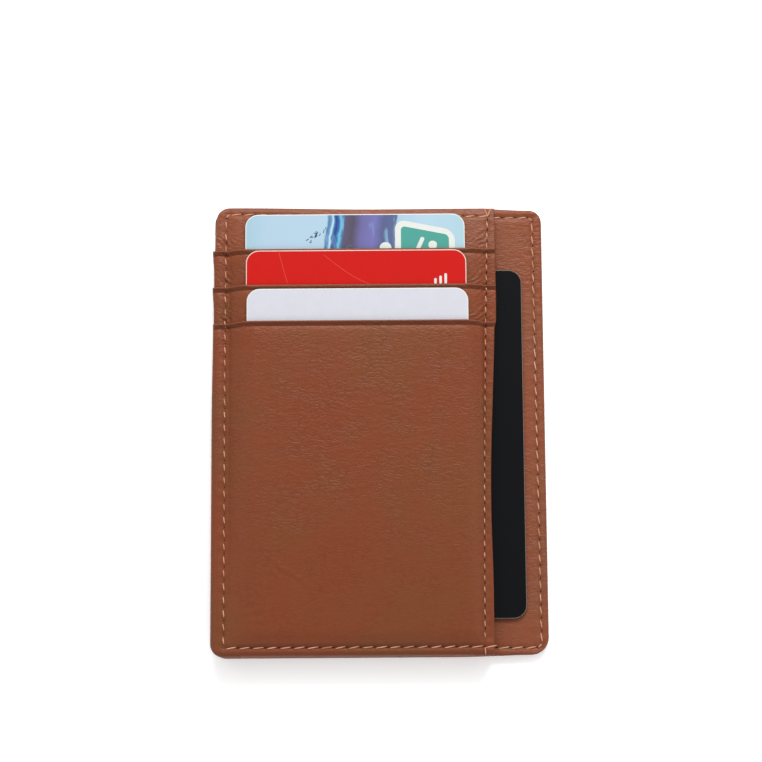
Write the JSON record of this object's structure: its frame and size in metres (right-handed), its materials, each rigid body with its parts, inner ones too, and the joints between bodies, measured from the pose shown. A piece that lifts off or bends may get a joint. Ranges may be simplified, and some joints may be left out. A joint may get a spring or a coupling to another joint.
{
  "type": "slim card wallet",
  "caption": "Slim leather card wallet with stepped front pockets, a side slot and cards that slide out of them.",
  "frame": {"origin": "on the back face, under the middle of the wallet", "axes": "wallet lying on its back: +Z out of its front, +Y towards the pocket mouths, +X towards the side slot"},
  "size_m": [0.081, 0.1106, 0.0094],
  "materials": {
    "leather": "semi-aniline tan cowhide with fine creases and a low sheen",
    "board": "uncoated card board",
    "lining_fabric": "thin dark brown woven lining",
    "stay_tape": "woven stay tape",
    "thread": "twisted polyester thread",
    "blue_card_plastic": "laminated PVC with an abstract blue print",
    "red_card_plastic": "laminated PVC, plain red",
    "white_card_plastic": "laminated PVC, blank white",
    "black_card_plastic": "matt black PVC with a pale cut edge"
  },
  "bodies": {
    "wallet": {"back_panel": "leather", "back_stiffener": "board", "slot_facing": "leather", "slot_lining": "lining_fabric", "pocket_base": "leather", "pocket_base_lining": "lining_fabric", "top_pocket_facing": "leather", "top_pocket_lining": "lining_fabric", "top_mouth_tape": "stay_tape", "middle_pocket_facing": "leather", "middle_pocket_lining": "lining_fabric", "middle_mouth_tape": "stay_tape", "front_pocket_panel": "leather", "front_pocket_lining": "lining_fabric", "front_mouth_tape": "stay_tape", "perimeter_stitching": "thread", "slot_edge_stitching": "thread", "pocket_bottom_stitching": "thread"},
    "blue_card": {"blue_card": "blue_card_plastic"},
    "red_card": {"red_card": "red_card_plastic"},
    "white_card": {"white_card": "white_card_plastic"},
    "black_card": {"black_card": "black_card_plastic"}
  },
  "joints": [
    {"name": "blue_card_slide", "type": "slide", "parent": "wallet", "child": "blue_card", "axis": [0, 1, 0], "range_m": [0, 0.075]},
    {"name": "red_card_slide", "type": "slide", "parent": "wallet", "child": "red_card", "axis": [0, 1, 0.007], "range_m": [0, 0.075]},
    {"name": "white_card_slide", "type": "slide", "parent": "wallet", "child": "white_card", "axis": [0, 0.9999, 0.014], "range_m": [0, 0.075]},
    {"name": "black_card_slide", "type": "slide", "parent": "wallet", "child": "black_card", "axis": [1, 0, 0], "range_m": [-0.014, 0.044]}
  ]
}
